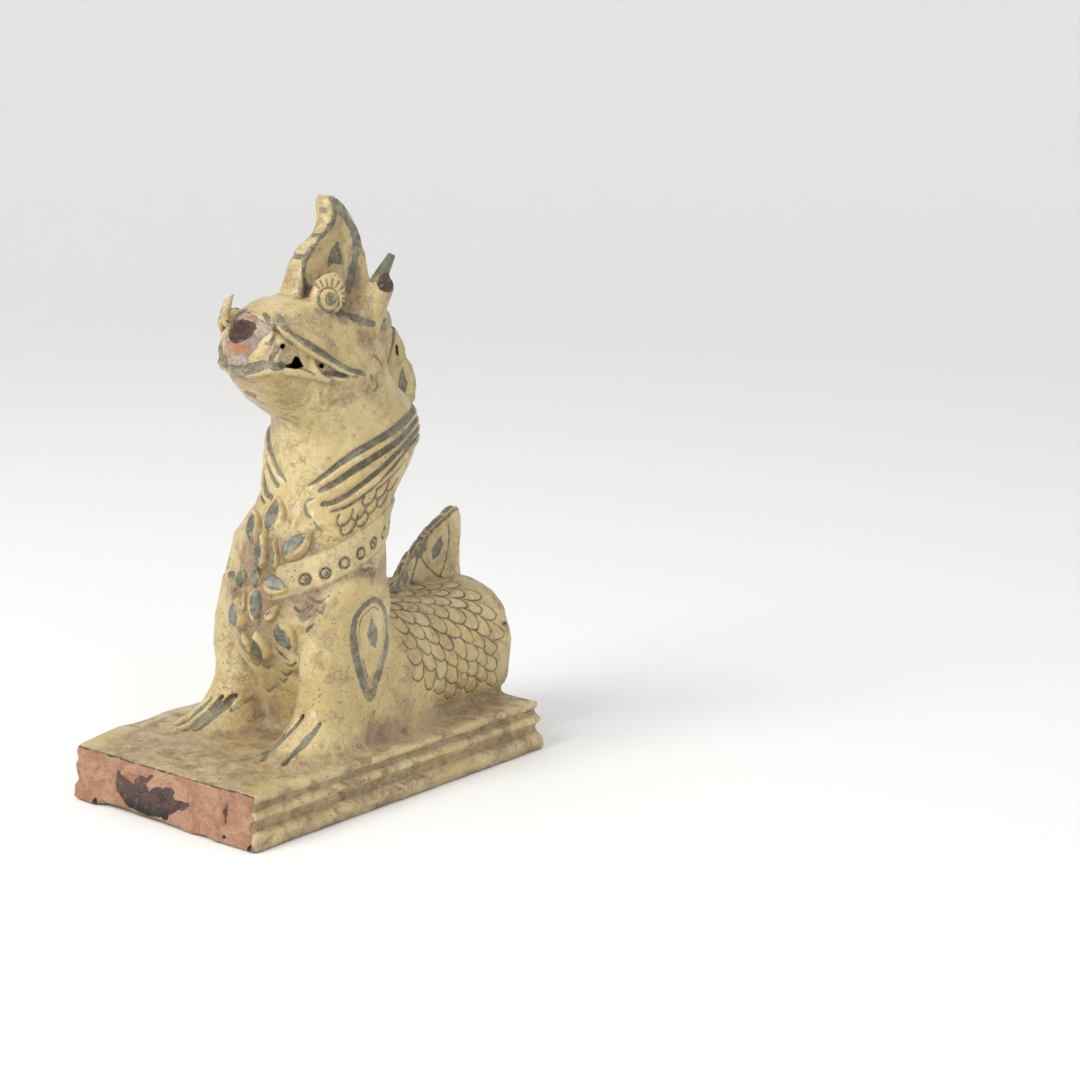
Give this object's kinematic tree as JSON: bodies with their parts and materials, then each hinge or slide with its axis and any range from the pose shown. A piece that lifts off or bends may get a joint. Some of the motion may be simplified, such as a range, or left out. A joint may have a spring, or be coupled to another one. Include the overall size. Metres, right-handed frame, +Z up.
{
  "type": "ridge beast ornament",
  "caption": "Glazed clay beast seated on a moulded ridge tile slab, with a flame crest, open jaws, a chest ornament and two back fins.",
  "frame": {"origin": "middle of the slab's underside", "axes": "+Z up, -Y towards the beast's face, +X towards its left flank"},
  "size_m": [0.182, 0.322, 0.43],
  "materials": {
    "glazed_clay": "worn straw-yellow glaze with slate-green brushed lines over salmon clay"
  },
  "bodies": {
    "root": {"ridge_beast": "glazed_clay"}
  },
  "joints": []
}
